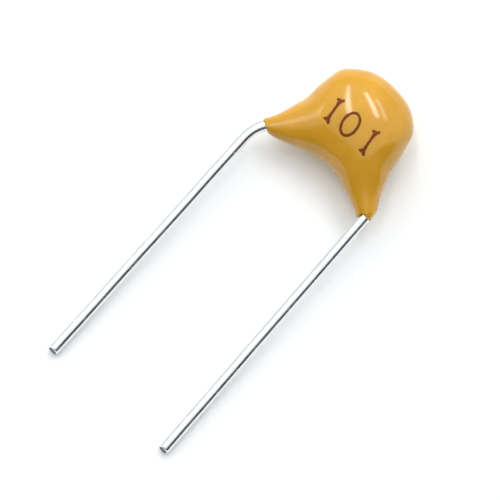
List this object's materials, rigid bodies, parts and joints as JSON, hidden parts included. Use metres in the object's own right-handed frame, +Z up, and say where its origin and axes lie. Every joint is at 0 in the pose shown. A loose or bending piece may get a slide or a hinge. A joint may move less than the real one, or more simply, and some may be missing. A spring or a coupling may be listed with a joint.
{
  "type": "multilayer ceramic capacitor",
  "caption": "Dipped radial-lead multilayer ceramic capacitor: glossy ochre epoxy body with splayed legs and two tinned wire leads for through-hole mounting.",
  "frame": {"origin": "middle of the footprint, on the surface that the part lies on", "axes": "+X across the leads from the left lead to the right, +Y from the lead tips to the dome, +Z up from the surface"},
  "size_m": [0.0054, 0.0146, 0.0024],
  "materials": {
    "epoxy_coat": "gloss",
    "dielectric_ceramic": "satin",
    "electrode_film": "satin",
    "termination_metal": "satin",
    "solder": "satin",
    "tinned_wire": "polished",
    "marking_ink": "satin"
  },
  "bodies": {
    "root": {"coating": "epoxy_coat", "ceramic_chip": "dielectric_ceramic", "left_electrodes": "electrode_film", "right_electrodes": "electrode_film", "left_termination": "termination_metal", "right_termination": "termination_metal", "left_solder": "solder", "right_solder": "solder", "left_lead": "tinned_wire", "right_lead": "tinned_wire"}
  },
  "joints": []
}
